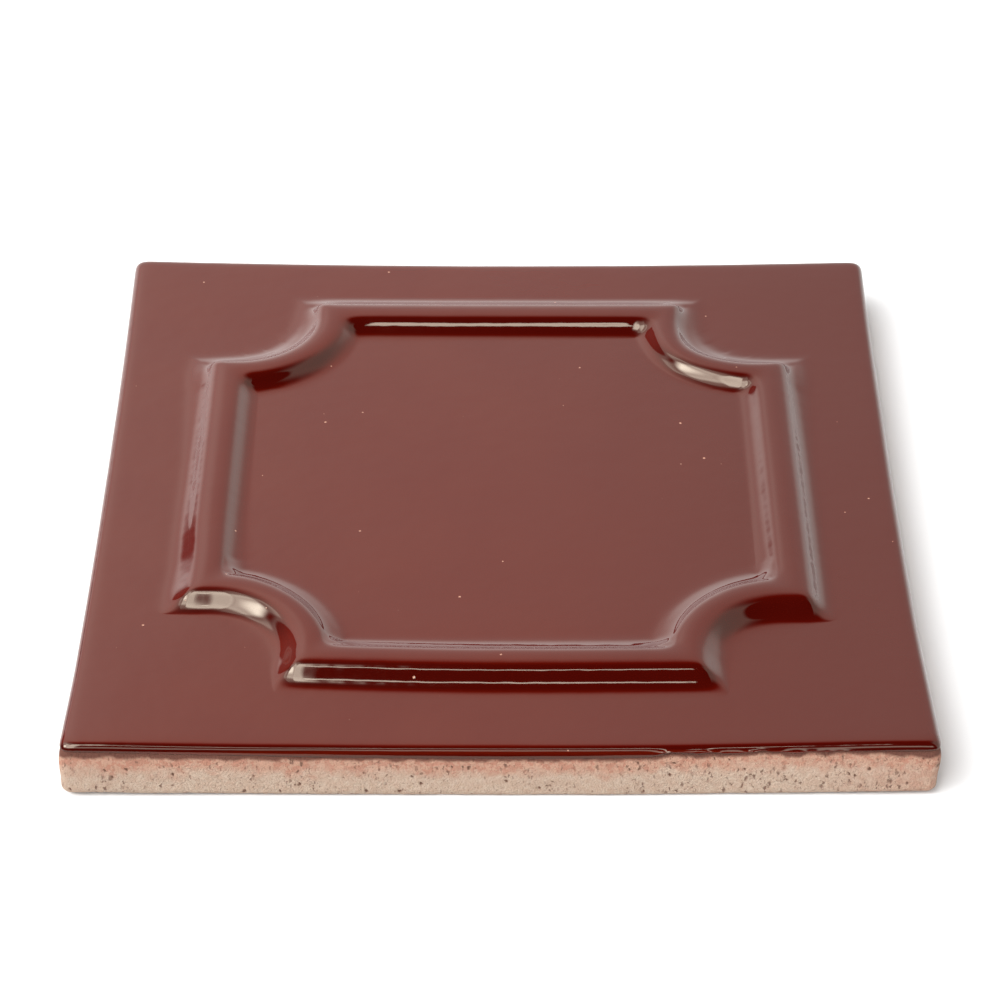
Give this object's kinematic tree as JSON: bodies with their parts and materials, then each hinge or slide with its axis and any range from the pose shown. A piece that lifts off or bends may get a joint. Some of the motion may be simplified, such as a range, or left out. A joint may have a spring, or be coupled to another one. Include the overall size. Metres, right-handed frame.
{
  "type": "ceramic accent tile",
  "caption": "Square glazed wall tile with a raised scooped-corner frame moulding, set as an accent among plain tiles.",
  "frame": {"origin": "middle of the flat back, level with the surface that the tile lies on", "axes": "+Z out of the glazed face, +X and +Y along the sides"},
  "size_m": [0.1532, 0.1532, 0.0143],
  "materials": {
    "glaze": "high-gloss oxblood glaze over the face and rolled over the top edge",
    "bisque": "unglazed buff clay of the sides and back, with open pores"
  },
  "bodies": {
    "root": {"accent_tile": "glaze"}
  },
  "joints": []
}
